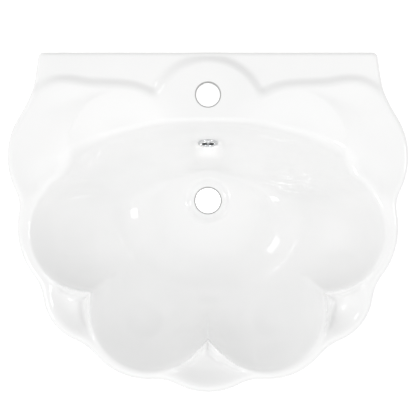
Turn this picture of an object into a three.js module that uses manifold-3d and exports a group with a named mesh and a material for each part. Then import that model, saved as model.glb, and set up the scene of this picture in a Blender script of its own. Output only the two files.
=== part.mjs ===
// Pedestal sink: a scalloped china basin on a lobed china pedestal, with its wall fixings.
// Millimetres, +Z up. The floor is z = 0, the user stands on the -Y side and the wall is on the +Y side.
import * as THREE from 'three';
import { mergeVertices } from 'three/addons/utils/BufferGeometryUtils.js';
import Module from 'manifold-3d';

const wasm = await Module();
wasm.setup();

// ---------------------------------------------------------------- driving dimensions
// Overall
const WIDTH = 572;
const DEPTH = 485;
const RIM_HEIGHT = 860;
const DRAIN_FROM_WALL = 211;

// Basin china
const CHINA = 12;
const RIM_BAND = 12;
const RIM_EDGE = 6;
const LIP_DEPTH = 42;
const LIP_WALL = 11;
const APRON_DEPTH = 170;
const APRON_SWEEP = 150;
const APRON_CORNER = 17;
const APRON_CORNER_RISE = 0.45;
const LIP_ROUNDING = 3;
const LIP_GROOVE = 4;
const LEDGE_WIDTH = 484;
const LEDGE_FLARE = 0.15;
const LEDGE_DROP = 8.5;
const LEDGE_STEP = 9;
const BOSS_STEP = 9;
const LEDGE_CORNER = 7;
const BOWL_DEPTH = 148;
const FLOOR_FALL = 5;
const FLOOR_RADIUS_FRONT = 78;
const FLOOR_RADIUS_BACK = 46;
const FRONT_RISE = 2;
const BACK_RISE = 1.35;
const DISH_DEPTH_FRONT = 26;
const DISH_DEPTH_BACK = 7;
const DISH_WALL_FRONT = 42;
const DISH_WALL_BACK = 36;
const RIDGE_WALL_FRONT = 14;
const RIDGE_WALL_BACK = 32;
const REAR_DISH_DEPTH = 8;
const REAR_DISH_WALL = 45;
const REAR_DISH_SLOPE = 0.08;
const CREST = 4;
const CREST_FALL = 0.1;

// Holes in the china
const TAP_HOLE_RADIUS = 17;
const TAP_FROM_WALL = 61.5;
const HOLE_ROUNDING = 2;
const DRAIN_RADIUS = 20;
const DRAIN_RECESS_RADIUS = 36;
const DRAIN_RECESS_STEP = 10;
const DRAIN_RECESS_DEPTH = 4;
const DRAIN_BOSS_WALL = 13;
const DRAIN_BOSS_DEPTH = 30;
const OVERFLOW_BELOW_RIM = 58;
const OVERFLOW_HOLE_RADIUS = 11.5;
const DUCT_WIDTH = 24;
const DUCT_DEPTH = 11;
const DUCT_WALL = 6;

// Overflow trim
const TRIM_RADIUS = 14.2;
const TRIM_THICKNESS = 2.2;
const TRIM_COLLAR_WALL = 1;
const TRIM_COLLAR_LENGTH = 6;
const TRIM_BAR = 2.4;
const SLEEVE_WALL = 1.2;
const SLEEVE_LENGTH = 9;

// Pedestal and its seat under the basin
const SEAT_STAND = 16;
const SEAT_RADIUS = 114;
const SEAT_WALL = 15;
const PAD_THICKNESS = 3;
const PAD_WIDTH = 9;
const PAD_SPAN = 16;
const FOOT_RADIUS = 132;
const FOOT_EDGE = 16;
const SHAFT_RADIUS = 80;
const PEDESTAL_WALL = 13;
const PEDESTAL_LOBES = 12;
const PEDESTAL_FLUTE = 0.055;
const BACK_OPENING = 104;
const FOOT_BAND = 64;

// Wall fixings
const STUD_SPACING = 280;
const STUD_BELOW_RIM = 92;
const STUD_RADIUS = 4;
const STUD_IN_WALL = 10;
const STUD_TIP = 8;
const STUD_CHAMFER = 1;
const BUSH_RADIUS = 7;
const BUSH_FLANGE_RADIUS = 14;
const BUSH_FLANGE = 3;
const WASHER_RADIUS = 11;
const WASHER_THICKNESS = 1.6;
const NUT_FLATS = 13;
const NUT_HEIGHT = 6.5;

// Fits
const GAP = 0.3;

// Mesh steps
const AROUND = 96;
const BOWL_STEPS = 17;
const STEP_CROWDING = 0.75;
const UNDER_STEPS = 7;
const PEDESTAL_AROUND = 72;
const CURVE_STEPS = 9;
const ROUND_STEPS = 24;

// ---------------------------------------------------------------- materials
function material(name, color, roughness, metalness) {
  const made = new THREE.MeshStandardMaterial({ color, roughness, metalness });
  made.name = name;
  return made;
}
const china = material('vitreous_china', 0xf7f7f6, 0.08, 0);
const chrome = material('chrome', 0xd6d8da, 0.08, 1);
const zincSteel = material('zinc_steel', 0xb9bbbd, 0.35, 1);
const nylon = material('nylon', 0xe9e8e2, 0.5, 0);
const rubber = material('rubber', 0x2b2b2c, 0.85, 0);

// ---------------------------------------------------------------- small mathematics
const clamp = (value, low, high) => Math.min(high, Math.max(low, value));
const mix = (a, b, share) => a + (b - a) * share;
const radians = THREE.MathUtils.degToRad;

function smoothStep(low, high, value) {
  const share = clamp((value - low) / (high - low), 0, 1);
  return share * share * (3 - 2 * share);
}

// The lower of two values, with the corner where they cross rounded over a band of width k.
function softMin(a, b, k) {
  const overlap = Math.max(k - Math.abs(a - b), 0) / k;
  return Math.min(a, b) - (overlap * overlap * k) / 4;
}
const softMax = (a, b, k) => -softMin(-a, -b, k);

function bisect(low, high, isInside) {
  let inside = low;
  let outside = high;
  for (let step = 0; step < 50; step += 1) {
    const middle = (inside + outside) / 2;
    if (isInside(middle)) inside = middle;
    else outside = middle;
  }
  return inside;
}

// ---------------------------------------------------------------- the basin's plan
// The plan is a flower of round petals about the drain. It is drawn in shares of the half width, and
// stretched so that its front and back reach the named depths. x is across, y is towards the wall.
const HALF_WIDTH = WIDTH / 2;
const BACK_REACH = DRAIN_FROM_WALL;
const FRONT_REACH = DEPTH - DRAIN_FROM_WALL;
const BACK_SHARE = 0.738;
const FRONT_SHARE = 0.949;

const petal = (across, along, radius) => ({ across, along, radius });
const RIM_PETALS = [
  petal(0, 0, 0.36),
  petal(0, -0.618, 0.331),
  petal(0.294, -0.532, 0.354),
  petal(0.566, -0.452, 0.257),
  petal(0.563, -0.138, 0.386),
  petal(0.629, 0.215, 0.371),
  petal(0.733, 0.437, 0.159),
  petal(0.434, 0.28, 0.297),
];
const SIDE_SCOOP = petal(0.601, -0.157, 0.287);
const FRONT_SCOOP = petal(0.29, -0.552, 0.294);
const REAR_DISH = petal(0.434, 0.28, 0.255);
const TAP_BOSS = petal(0, 0.4285, 0.28);
const BOWL_ROUND = petal(0, 0, 0.825);
const BOWL_BACK = { across: 0.734, along: 0.355, power: 2.5 };
const LEDGE_START = 0.32;
const REAR_TOP = ((REAR_DISH.along + REAR_DISH.radius) / BACK_SHARE) * BACK_REACH;

// Levels below the rim
const SEAT_BELOW_RIM = BOWL_DEPTH + CHINA + SEAT_STAND;
const BOSS_BOTTOM = -(BOWL_DEPTH + FLOOR_FALL + DRAIN_RECESS_DEPTH + DRAIN_BOSS_DEPTH);

// Widths over which neighbouring surfaces melt into each other
const PETAL_BLEND = 16;
const LEDGE_BLEND = 8;
const BOWL_BLEND = 12;
const EDGE_BLEND = 12;
const BOWL_EDGE_BLEND_FRONT = 10;
const BOWL_EDGE_BLEND_BACK = 60;

// The corner between a dish's outer wall and its ridges, as a share of the walls
const DISH_CORNER = 0.3;

function toPlan(x, y) {
  const along = y < 0 ? (y / FRONT_REACH) * FRONT_SHARE : (y / BACK_REACH) * BACK_SHARE;
  return { across: x / HALF_WIDTH, along };
}

// Signed distance outside a petal. Petals are drawn for one side, and the other side is its mirror.
function beyondPetal(x, y, shape, side = 1) {
  const at = toPlan(side * x, y);
  return (Math.hypot(at.across - shape.across, at.along - shape.along) - shape.radius) * HALF_WIDTH;
}

function beyondFlower(x, y) {
  const distances = RIM_PETALS.map((shape) => beyondPetal(Math.abs(x), y, shape));
  return distances.reduce((a, b) => softMin(a, b, PETAL_BLEND));
}

function beyondLedge(x, y) {
  const side = Math.abs(x) - LEDGE_WIDTH / 2 - LEDGE_FLARE * (BACK_REACH - y);
  const back = y - BACK_REACH;
  const front = LEDGE_START * HALF_WIDTH - y;
  return Math.max(softMax(side, back, LEDGE_CORNER), front);
}

const beyondRim = (x, y) => softMin(beyondFlower(x, y), beyondLedge(x, y), LEDGE_BLEND);

// A direction is an angle about the drain, from 0 at the front round to half a turn at the wall.
const acrossAt = (angle, r) => r * Math.sin(angle);
const alongAt = (angle, r) => -r * Math.cos(angle);

function rimRadius(angle) {
  return bisect(0, WIDTH + DEPTH, (r) => beyondRim(acrossAt(angle, r), alongAt(angle, r)) < 0);
}

// How far a direction runs before it leaves a round scoop, or 0 where it misses the scoop.
function scoopRadius(angle, scoop, side) {
  const inside = (r) => beyondPetal(acrossAt(angle, r), alongAt(angle, r), scoop, side) < 0;
  const towards = { x: acrossAt(angle, 1), y: alongAt(angle, 1) };
  const at = toPlan(side * towards.x, towards.y);
  const run = (at.across * scoop.across + at.along * scoop.along) / (at.across ** 2 + at.along ** 2);
  return run > 0 && inside(run) ? bisect(run, WIDTH + DEPTH, inside) : 0;
}

function backRadius(angle) {
  const at = toPlan(acrossAt(angle, 1), alongAt(angle, 1));
  const { across, along, power } = BOWL_BACK;
  return (Math.abs(at.across / across) ** power + Math.abs(at.along / along) ** power) ** (-1 / power);
}

// The bowl's edge in a direction, with its scallops, and the plain round bowl that they fade into.
function bowlEdge(angle) {
  const side = angle < 0 ? -1 : 1;
  const edges = [
    scoopRadius(angle, SIDE_SCOOP, side),
    scoopRadius(angle, FRONT_SCOOP, side),
    scoopRadius(angle, FRONT_SCOOP, -side),
    backRadius(angle),
  ];
  const scalloped = edges.reduce((a, b) => softMax(a, b, BOWL_BLEND));
  const beyondRound = (r) => beyondPetal(acrossAt(angle, r), alongAt(angle, r), BOWL_ROUND);
  const round = bisect(0, WIDTH + DEPTH, (r) => beyondRound(r) < 0);
  return { scalloped, plain: mix(scalloped, round, smoothStep(-0.35, 0.1, Math.cos(angle))) };
}

// ---------------------------------------------------------------- the basin's heights, below the rim
function landHeight(x, y) {
  const flower = 1 - smoothStep(-LEDGE_STEP, LEDGE_STEP, beyondFlower(x, y));
  const boss = 1 - smoothStep(-BOSS_STEP, BOSS_STEP, beyondPetal(x, y, TAP_BOSS));
  return -LEDGE_DROP * (1 - flower) * (1 - boss);
}

// Round-bottomed dish: nothing at its edge, and its full depth at the foot of its wall, where the share is 1.
// Beyond its edge the wall runs on upwards, clear of the land round it.
function dishDepth(share) {
  const down = Math.min(share, 1);
  return down < 0 ? 2 * down : down * (2 - down);
}

const frontShare = (y) => smoothStep(FRONT_REACH / 4, -FRONT_REACH / 4, y);

// The shallow dishes between the bowl's scoops and the rim.
function petalDish(x, y, r, edge) {
  const side = x < 0 ? -1 : 1;
  const front = frontShare(y);
  const outer = -beyondFlower(x, y) - RIM_BAND;
  const ridge = Math.min(
    beyondPetal(x, y, SIDE_SCOOP, side),
    beyondPetal(x, y, FRONT_SCOOP, side),
    beyondPetal(x, y, FRONT_SCOOP, -side),
    beyondPetal(x, y, REAR_DISH, side),
    r - edge.scalloped,
  ) - CREST;
  const outerShare = outer / mix(DISH_WALL_BACK, DISH_WALL_FRONT, front);
  const ridgeShare = ridge / mix(RIDGE_WALL_BACK, RIDGE_WALL_FRONT, front);
  const share = softMin(outerShare, ridgeShare, DISH_CORNER);
  return -mix(DISH_DEPTH_BACK, DISH_DEPTH_FRONT, front) * dishDepth(share);
}

function rearDish(x, y) {
  const side = x < 0 ? -1 : 1;
  const inside = -beyondPetal(x, y, REAR_DISH, side);
  const deepest = REAR_DISH_DEPTH + REAR_DISH_SLOPE * Math.max(0, REAR_TOP - y);
  return -deepest * dishDepth(inside / REAR_DISH_WALL);
}

function bowlHeight(angle, r, edge, thickness) {
  const front = smoothStep(-1, 0.2, Math.cos(angle));
  const floor = mix(FLOOR_RADIUS_BACK, FLOOR_RADIUS_FRONT, front);
  const rise = mix(BACK_RISE, FRONT_RISE, front);
  const scallop = smoothStep(0.5, 1, (r - floor) / (edge.plain - floor));
  const reach = mix(edge.plain, edge.scalloped, scallop) + thickness;
  const share = Math.max(0, (r - floor) / (reach - floor));
  const fall = FLOOR_FALL * Math.max(0, 1 - r / floor);
  return -(BOWL_DEPTH + thickness) * (1 - share ** rise) - fall;
}

function topHeight(angle, r, edge) {
  const x = acrossAt(angle, r);
  const y = alongAt(angle, r);
  const crest = CREST_FALL * clamp(-beyondFlower(x, y) - RIM_BAND, 0, SEAT_RADIUS);
  const dishes = Math.min(petalDish(x, y, r, edge), rearDish(x, y));
  const land = landHeight(x, y) - crest * smoothStep(BACK_REACH / 2, 0, y);
  const outer = softMin(land, dishes, EDGE_BLEND);
  const recess = 1 - smoothStep(DRAIN_RECESS_RADIUS - DRAIN_RECESS_STEP, DRAIN_RECESS_RADIUS, r);
  const blend = mix(BOWL_EDGE_BLEND_BACK, BOWL_EDGE_BLEND_FRONT, smoothStep(-0.3, 0.3, Math.cos(angle)));
  return softMin(outer, bowlHeight(angle, r, edge, 0), blend) - DRAIN_RECESS_DEPTH * recess;
}

function underHeight(angle, r, edge) {
  return Math.min(topHeight(angle, r, edge) - CHINA, bowlHeight(angle, r, edge, CHINA));
}

// ---------------------------------------------------------------- building solids
const UP = new THREE.Vector3(0, 0, 1);

function toSolid(geometry) {
  const bare = geometry.index ? geometry.clone() : geometry;
  bare.deleteAttribute('normal');
  bare.deleteAttribute('uv');
  const merged = mergeVertices(bare, 1e-4);
  const vertProperties = new Float32Array(merged.attributes.position.array);
  const triVerts = new Uint32Array(merged.index.array);
  return new wasm.Manifold(new wasm.Mesh({ numProp: 3, vertProperties, triVerts }));
}

function toGeometry(solid) {
  const { numProp, vertProperties, triVerts } = solid.getMesh();
  const geometry = new THREE.BufferGeometry();
  const positions = new Float32Array((vertProperties.length / numProp) * 3);
  for (let vertex = 0; vertex * numProp < vertProperties.length; vertex += 1) {
    positions.set(vertProperties.subarray(vertex * numProp, vertex * numProp + 3), vertex * 3);
  }
  geometry.setAttribute('position', new THREE.BufferAttribute(positions, 3));
  geometry.setIndex(new THREE.BufferAttribute(new Uint32Array(triVerts), 1));
  geometry.computeVertexNormals();
  return geometry;
}

// Skin of closed profiles, one for each angle: each profile is a list of [radius, height].
function ringGeometry(angles, profileAt) {
  const ringAt = (angle) => profileAt(angle).map(([r, z]) => [acrossAt(angle, r), alongAt(angle, r), z]);
  const rings = angles.map(ringAt);
  const count = rings[0].length;
  const indices = [];
  rings.forEach((ring, here) => {
    const next = (here + 1) % rings.length;
    for (let point = 0; point < count; point += 1) {
      const after = (point + 1) % count;
      const cell = [[here, point], [here, after], [next, after], [next, point]];
      const corners = cell.map(([row, place]) => row * count + place);
      indices.push(corners[0], corners[1], corners[2], corners[0], corners[2], corners[3]);
    }
  });
  const geometry = new THREE.BufferGeometry();
  geometry.setAttribute('position', new THREE.Float32BufferAttribute(rings.flat(2), 3));
  geometry.setIndex(indices);
  return geometry;
}

function evenAngles(count) {
  return Array.from({ length: count }, (_, step) => -Math.PI + (2 * Math.PI * (step + 1)) / count);
}

// A turned solid about the Y axis. Its outline is a list of [radius, y] that closes on itself.
function turned(outline, steps = ROUND_STEPS) {
  const points = [...outline, outline[0]].map(([r, y]) => new THREE.Vector2(r, y));
  return new THREE.LatheGeometry(points, steps);
}

// Moves a piece drawn about the Y axis so that +Y lies along a direction and its origin on a point.
function aimed(geometry, origin, direction) {
  const turn = new THREE.Quaternion().setFromUnitVectors(new THREE.Vector3(0, 1, 0), direction);
  return geometry.applyQuaternion(turn).translate(origin.x, origin.y, origin.z);
}

// ---------------------------------------------------------------- the basin's solid
// Insets of the points on a rounded edge, in shares of its radius
const ROUND_MIDDLE = 1 - Math.SQRT1_2;
const ROUND_START = 0.06;
const RIM_INSETS = [RIM_EDGE, ROUND_MIDDLE * RIM_EDGE, ROUND_START * RIM_EDGE];
const insetRadius = (angle, inset) =>
  bisect(0, WIDTH + DEPTH, (r) => beyondRim(acrossAt(angle, r), alongAt(angle, r)) < -inset);

// How much of the apron's depth the outer wall has: all of it in the middle of the back.
function apronShare(x, y) {
  const sides = smoothStep(0, APRON_SWEEP, y - (BACK_REACH - APRON_CORNER - APRON_SWEEP));
  const corners = smoothStep(STUD_SPACING / 2 + BUSH_FLANGE_RADIUS, LEDGE_WIDTH / 2, Math.abs(x));
  return sides * (1 - APRON_CORNER_RISE * corners);
}

function basinProfile(angle) {
  const edge = bowlEdge(angle);
  const outer = rimRadius(angle);
  const inner = insetRadius(angle, LIP_WALL);
  const top = insetRadius(angle, RIM_EDGE);
  const first = DRAIN_RADIUS + HOLE_ROUNDING;
  const floor = topHeight(angle, first, edge);
  const lip = -mix(LIP_DEPTH, APRON_DEPTH, apronShare(acrossAt(angle, outer), alongAt(angle, outer)));
  const profile = [
    [DRAIN_RADIUS, floor - HOLE_ROUNDING],
    [DRAIN_RADIUS + ROUND_MIDDLE * HOLE_ROUNDING, floor - ROUND_MIDDLE * HOLE_ROUNDING],
  ];
  for (let step = 0; step < BOWL_STEPS; step += 1) {
    const r = mix(first, top, (step / BOWL_STEPS) ** STEP_CROWDING);
    profile.push([r, topHeight(angle, r, edge)]);
  }
  RIM_INSETS.forEach((inset) => {
    const rounding = RIM_EDGE - Math.sqrt(RIM_EDGE ** 2 - (RIM_EDGE - inset) ** 2);
    profile.push([insetRadius(angle, inset), topHeight(angle, top, edge) - rounding]);
  });
  profile.push([outer, topHeight(angle, top, edge) - RIM_EDGE]);
  profile.push([outer, lip + LIP_ROUNDING]);
  profile.push([insetRadius(angle, LIP_ROUNDING), lip]);
  profile.push([inner, lip]);
  profile.push([inner, Math.max(underHeight(angle, inner, edge), lip + LIP_GROOVE)]);
  for (let step = 1; step <= UNDER_STEPS; step += 1) {
    const r = mix(inner, SEAT_RADIUS, step / UNDER_STEPS);
    profile.push([r, underHeight(angle, r, edge)]);
  }
  profile.push([SEAT_RADIUS, -SEAT_BELOW_RIM]);
  profile.push([SEAT_RADIUS - SEAT_WALL, -SEAT_BELOW_RIM]);
  const bossRadius = DRAIN_RADIUS + DRAIN_BOSS_WALL;
  [SEAT_RADIUS - SEAT_WALL, mix(SEAT_RADIUS - SEAT_WALL, bossRadius, 0.5), bossRadius].forEach((r) => {
    profile.push([r, underHeight(angle, r, edge)]);
  });
  profile.push([bossRadius, BOSS_BOTTOM]);
  profile.push([DRAIN_RADIUS, BOSS_BOTTOM]);
  return profile;
}

// Directions round the drain: even steps, with closer ones at the ledge's two square corners.
const CORNER_TURNS = [-2.4, -1.2, -0.4, 0.4, 1.2, 2.4];
const CORNER_CLEARANCE = 3.2;
function basinAngles() {
  const corner = Math.atan2(LEDGE_WIDTH / 2, -BACK_REACH);
  const close = CORNER_TURNS.map((offset) => corner + radians(offset));
  const isClear = (angle) => Math.abs(Math.abs(angle) - corner) > radians(CORNER_CLEARANCE);
  const even = evenAngles(AROUND).filter(isClear);
  return [...even, ...close, ...close.map((angle) => -angle)].sort((a, b) => a - b);
}

// Where the overflow meets the bowl's back wall, and the wall's slope there. These are in the drain's
// upright middle plane: y is towards the wall and z is below the rim.
const backEdge = bowlEdge(Math.PI);

function backWallAt(z) {
  const y = bisect(0, backEdge.scalloped, (r) => topHeight(Math.PI, r, backEdge) < z);
  return new THREE.Vector3(0, y, z);
}

function inwardNormal(high, low) {
  const along = high.clone().sub(low).normalize();
  return new THREE.Vector3(0, along.z, -along.y);
}

const trimHigh = backWallAt(-OVERFLOW_BELOW_RIM + TRIM_RADIUS);
const trimLow = backWallAt(-OVERFLOW_BELOW_RIM - TRIM_RADIUS);
const intoWall = inwardNormal(trimHigh, trimLow);
const trimSeat = trimHigh.clone().add(trimLow).multiplyScalar(0.5);

// A square duct between two points of the middle plane.
function duct(from, to, wall) {
  const run = to.clone().sub(from);
  const box = new THREE.BoxGeometry(DUCT_WIDTH + 2 * wall, run.length() + 2 * wall, DUCT_DEPTH + 2 * wall);
  return aimed(box, from.clone().add(to).multiplyScalar(0.5), run.normalize());
}

// The overflow's way down behind the bowl and forward to the drain.
function overflowDucts(wall) {
  const top = trimSeat.clone().add(new THREE.Vector3(0, CHINA + DUCT_DEPTH / 2, OVERFLOW_HOLE_RADIUS));
  const elbow = new THREE.Vector3(0, top.y, -(BOWL_DEPTH + FLOOR_FALL + CHINA + DUCT_DEPTH / 2));
  const reach = wall > 0 ? DRAIN_RADIUS + DRAIN_BOSS_WALL : DRAIN_RADIUS - DUCT_WALL;
  const drain = new THREE.Vector3(0, reach, elbow.z);
  return toSolid(duct(top, elbow, wall)).add(toSolid(duct(elbow, drain, wall)));
}

function roundCutter(radius, from, to) {
  return turned([[0, from], [radius, from], [radius, to], [0, to]]);
}

// A plain round hole down from a flat top, with its upper edge rounded over.
function tapHoleCutter() {
  const outline = [[0, -APRON_DEPTH], [TAP_HOLE_RADIUS, -APRON_DEPTH], [TAP_HOLE_RADIUS, -HOLE_ROUNDING]];
  [30, 60].forEach((turn) => {
    const out = HOLE_ROUNDING * (1 - Math.cos(radians(turn)));
    outline.push([TAP_HOLE_RADIUS + out, HOLE_ROUNDING * (Math.sin(radians(turn)) - 1)]);
  });
  outline.push([TAP_HOLE_RADIUS + HOLE_ROUNDING, 0], [TAP_HOLE_RADIUS + HOLE_ROUNDING, CHINA], [0, CHINA]);
  return aimed(turned(outline, 36), new THREE.Vector3(0, BACK_REACH - TAP_FROM_WALL, 0), UP);
}

function makeBasin() {
  const shell = toSolid(ringGeometry(basinAngles(), basinProfile));
  const bore = roundCutter(OVERFLOW_HOLE_RADIUS, -BOWL_DEPTH / 3, CHINA + DUCT_DEPTH / 2);
  const landing = roundCutter(TRIM_RADIUS + 1, -BOWL_DEPTH / 3, 0);
  let solid = shell.add(overflowDucts(DUCT_WALL)).subtract(overflowDucts(0));
  solid = solid.subtract(toSolid(aimed(bore, trimSeat, intoWall)));
  solid = solid.subtract(toSolid(aimed(landing, trimSeat, intoWall)));
  solid = solid.subtract(toSolid(tapHoleCutter()));
  [-1, 1].forEach((side) => {
    const hole = roundCutter(BUSH_RADIUS + GAP, BACK_REACH - 2 * LIP_WALL, BACK_REACH + LIP_WALL);
    hole.translate((side * STUD_SPACING) / 2, 0, -STUD_BELOW_RIM);
    solid = solid.subtract(toSolid(hole));
  });
  return toGeometry(solid);
}

// ---------------------------------------------------------------- the pedestal
const PEDESTAL_HEIGHT = RIM_HEIGHT - SEAT_BELOW_RIM - PAD_THICKNESS - 2 * GAP;

// The column's outline from foot to head: a stepped foot, a slim shaft and a head that flares to the seat.
const HEAD_BAND = 14;
const FLUTE_FADE = 60;
const pedestalCurve = new THREE.CatmullRomCurve3(
  [
    [FOOT_RADIUS, FOOT_EDGE],
    [FOOT_RADIUS - 9, FOOT_EDGE + 9],
    [FOOT_RADIUS - 17, FOOT_EDGE + 24],
    [FOOT_RADIUS - 22, FOOT_BAND],
    [mix(SHAFT_RADIUS, FOOT_RADIUS, 0.22), FOOT_BAND + 50],
    [SHAFT_RADIUS + 2, FOOT_BAND + 130],
    [SHAFT_RADIUS - 3, 0.52 * PEDESTAL_HEIGHT],
    [SHAFT_RADIUS, PEDESTAL_HEIGHT - 190],
    [mix(SHAFT_RADIUS, SEAT_RADIUS, 0.3), PEDESTAL_HEIGHT - 100],
    [mix(SHAFT_RADIUS, SEAT_RADIUS, 0.8), PEDESTAL_HEIGHT - 42],
    [SEAT_RADIUS, PEDESTAL_HEIGHT - HEAD_BAND],
  ].map(([r, z]) => new THREE.Vector3(r, 0, z)),
);

// The column's lobes swell between its foot and its head, and leave both ends round.
function fluteShare(z) {
  const low = smoothStep(FOOT_EDGE, FOOT_BAND + FLUTE_FADE, z);
  const high = 1 - smoothStep(PEDESTAL_HEIGHT - HEAD_BAND - FLUTE_FADE, PEDESTAL_HEIGHT - HEAD_BAND, z);
  return PEDESTAL_FLUTE * low * high;
}

function pedestalProfile(angle) {
  const lobe = Math.abs(Math.cos((PEDESTAL_LOBES / 2) * angle)) - 1;
  const fluted = (at) => [at.x * (1 + fluteShare(at.z) * lobe), at.z];
  const smooth = (at) => [at.x * (1 - fluteShare(at.z)) - PEDESTAL_WALL, at.z];
  const outside = pedestalCurve.getPoints(2 * CURVE_STEPS).map(fluted);
  const inside = pedestalCurve.getPoints(CURVE_STEPS).map(smooth);
  return [
    [FOOT_RADIUS - PEDESTAL_WALL, 0],
    ...inside,
    [SEAT_RADIUS - PEDESTAL_WALL, PEDESTAL_HEIGHT],
    [SEAT_RADIUS, PEDESTAL_HEIGHT],
    ...outside.reverse(),
    [FOOT_RADIUS, 0],
  ];
}

function makePedestal() {
  const column = toSolid(ringGeometry(evenAngles(PEDESTAL_AROUND), pedestalProfile));
  const opening = new THREE.BoxGeometry(BACK_OPENING, FOOT_RADIUS, PEDESTAL_HEIGHT);
  opening.translate(0, FOOT_RADIUS / 2, FOOT_BAND + PEDESTAL_HEIGHT / 2);
  return toGeometry(column.subtract(toSolid(opening)));
}

// ---------------------------------------------------------------- pads, trim and fixings
function padGeometry(angle) {
  const middle = SEAT_RADIUS - SEAT_WALL / 2;
  const half = radians(PAD_SPAN / 2);
  const shape = new THREE.Shape();
  shape.absarc(0, 0, middle + PAD_WIDTH / 2, angle - half, angle + half, false);
  shape.absarc(0, 0, middle - PAD_WIDTH / 2, angle + half, angle - half, true);
  return new THREE.ExtrudeGeometry(shape, { depth: PAD_THICKNESS, bevelEnabled: false, curveSegments: 6 });
}

const SLEEVE_RADIUS = OVERFLOW_HOLE_RADIUS - GAP;
const COLLAR_RADIUS = SLEEVE_RADIUS - SLEEVE_WALL - GAP;
const COLLAR_BORE = COLLAR_RADIUS - TRIM_COLLAR_WALL;

// The trim is drawn about the Y axis, with the wall's face at y = 0 and the bowl on the -y side.
function trimGeometry() {
  const rounding = TRIM_THICKNESS / 2;
  const ring = turned([
    [COLLAR_BORE, TRIM_COLLAR_LENGTH],
    [COLLAR_BORE, -GAP - rounding],
    [COLLAR_BORE + rounding, -GAP - TRIM_THICKNESS],
    [TRIM_RADIUS - rounding, -GAP - TRIM_THICKNESS],
    [TRIM_RADIUS, -GAP - rounding],
    [TRIM_RADIUS, -GAP],
    [COLLAR_RADIUS, -GAP],
    [COLLAR_RADIUS, TRIM_COLLAR_LENGTH],
  ]);
  let solid = toSolid(ring);
  [0, 90].forEach((turn) => {
    const bar = new THREE.BoxGeometry(2 * COLLAR_RADIUS - 1, TRIM_BAR, TRIM_BAR);
    solid = solid.add(toSolid(bar.rotateY(radians(turn)).translate(0, TRIM_BAR / 2, 0)));
  });
  return toGeometry(solid);
}

function sleeveGeometry() {
  const bore = SLEEVE_RADIUS - SLEEVE_WALL;
  return turned([[bore, GAP], [SLEEVE_RADIUS, GAP], [SLEEVE_RADIUS, SLEEVE_LENGTH], [bore, SLEEVE_LENGTH]]);
}

// The fixings lie along Y. Each stack is counted back from the apron's inner face towards the user.
const apronFace = BACK_REACH - LIP_WALL;
const flangeFront = apronFace - GAP - BUSH_FLANGE;
const washerFront = flangeFront - GAP - WASHER_THICKNESS;
const nutFront = washerFront - GAP - NUT_HEIGHT;
const studFront = nutFront - STUD_TIP;
const studEnd = BACK_REACH + STUD_IN_WALL;
const BORE = STUD_RADIUS + GAP;

function studGeometry() {
  return turned([
    [0, studFront],
    [STUD_RADIUS - STUD_CHAMFER, studFront],
    [STUD_RADIUS, studFront + STUD_CHAMFER],
    [STUD_RADIUS, studEnd - STUD_CHAMFER],
    [STUD_RADIUS - STUD_CHAMFER, studEnd],
    [0, studEnd],
  ], 16);
}

function bushGeometry() {
  return turned([
    [BORE, flangeFront],
    [BUSH_FLANGE_RADIUS, flangeFront],
    [BUSH_FLANGE_RADIUS, apronFace - GAP],
    [BUSH_RADIUS, apronFace - GAP],
    [BUSH_RADIUS, BACK_REACH - 1],
    [BORE, BACK_REACH - 1],
  ]);
}

function tube(bore, radius, from, to, steps) {
  return turned([[bore, from], [radius, from], [radius, to], [bore, to]], steps);
}

function nutGeometry() {
  const corner = NUT_FLATS / 2 / Math.cos(Math.PI / 6);
  const hexagon = new THREE.Shape();
  for (let side = 0; side < 6; side += 1) {
    const point = [corner * Math.cos((side * Math.PI) / 3), corner * Math.sin((side * Math.PI) / 3)];
    if (side === 0) hexagon.moveTo(...point);
    else hexagon.lineTo(...point);
  }
  hexagon.closePath();
  hexagon.holes.push(new THREE.Path().absarc(0, 0, BORE, 0, 2 * Math.PI, true));
  const thickness = { depth: NUT_HEIGHT, bevelEnabled: false, curveSegments: 12 };
  const nut = new THREE.ExtrudeGeometry(hexagon, thickness);
  return nut.rotateX(-Math.PI / 2).translate(0, nutFront, 0);
}

// ---------------------------------------------------------------- the assembly
// The whole part stands centred on the origin: front lip to stud ends along Y.
const DRAIN_Y = (FRONT_REACH - studEnd) / 2;
const sink = new THREE.Group();

function place(parent, name, geometry, look) {
  const mesh = new THREE.Mesh(geometry, look);
  mesh.name = name;
  parent.add(mesh);
  return mesh;
}

const basinGroup = new THREE.Group();
basinGroup.position.set(0, DRAIN_Y, RIM_HEIGHT);
sink.add(basinGroup);
place(basinGroup, 'basin', makeBasin(), china);
place(basinGroup, 'overflow_ring', aimed(trimGeometry(), trimSeat, intoWall), chrome);
place(basinGroup, 'overflow_sleeve', aimed(sleeveGeometry(), trimSeat, intoWall), nylon);

for (const [word, side] of [['left', -1], ['right', 1]]) {
  const fixing = new THREE.Group();
  fixing.position.set((side * STUD_SPACING) / 2, 0, -STUD_BELOW_RIM);
  basinGroup.add(fixing);
  place(fixing, `wall_stud_${word}`, studGeometry(), zincSteel);
  place(fixing, `bush_${word}`, bushGeometry(), nylon);
  place(fixing, `washer_${word}`, tube(BORE, WASHER_RADIUS, washerFront, flangeFront - GAP), zincSteel);
  place(fixing, `nut_${word}`, nutGeometry(), zincSteel);
}

const pedestalGroup = new THREE.Group();
pedestalGroup.position.set(0, DRAIN_Y, 0);
sink.add(pedestalGroup);
place(pedestalGroup, 'pedestal', makePedestal(), china);
const PAD_TURNS = [['front_left', -135], ['front_right', -45], ['back_right', 35], ['back_left', 145]];
for (const [word, turn] of PAD_TURNS) {
  const pad = place(pedestalGroup, `pad_${word}`, padGeometry(radians(turn)), rubber);
  pad.position.z = PEDESTAL_HEIGHT + GAP;
}

export default sink;
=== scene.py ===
import math

import bmesh
import bpy
import numpy as np
from mathutils import Matrix, Vector


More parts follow.
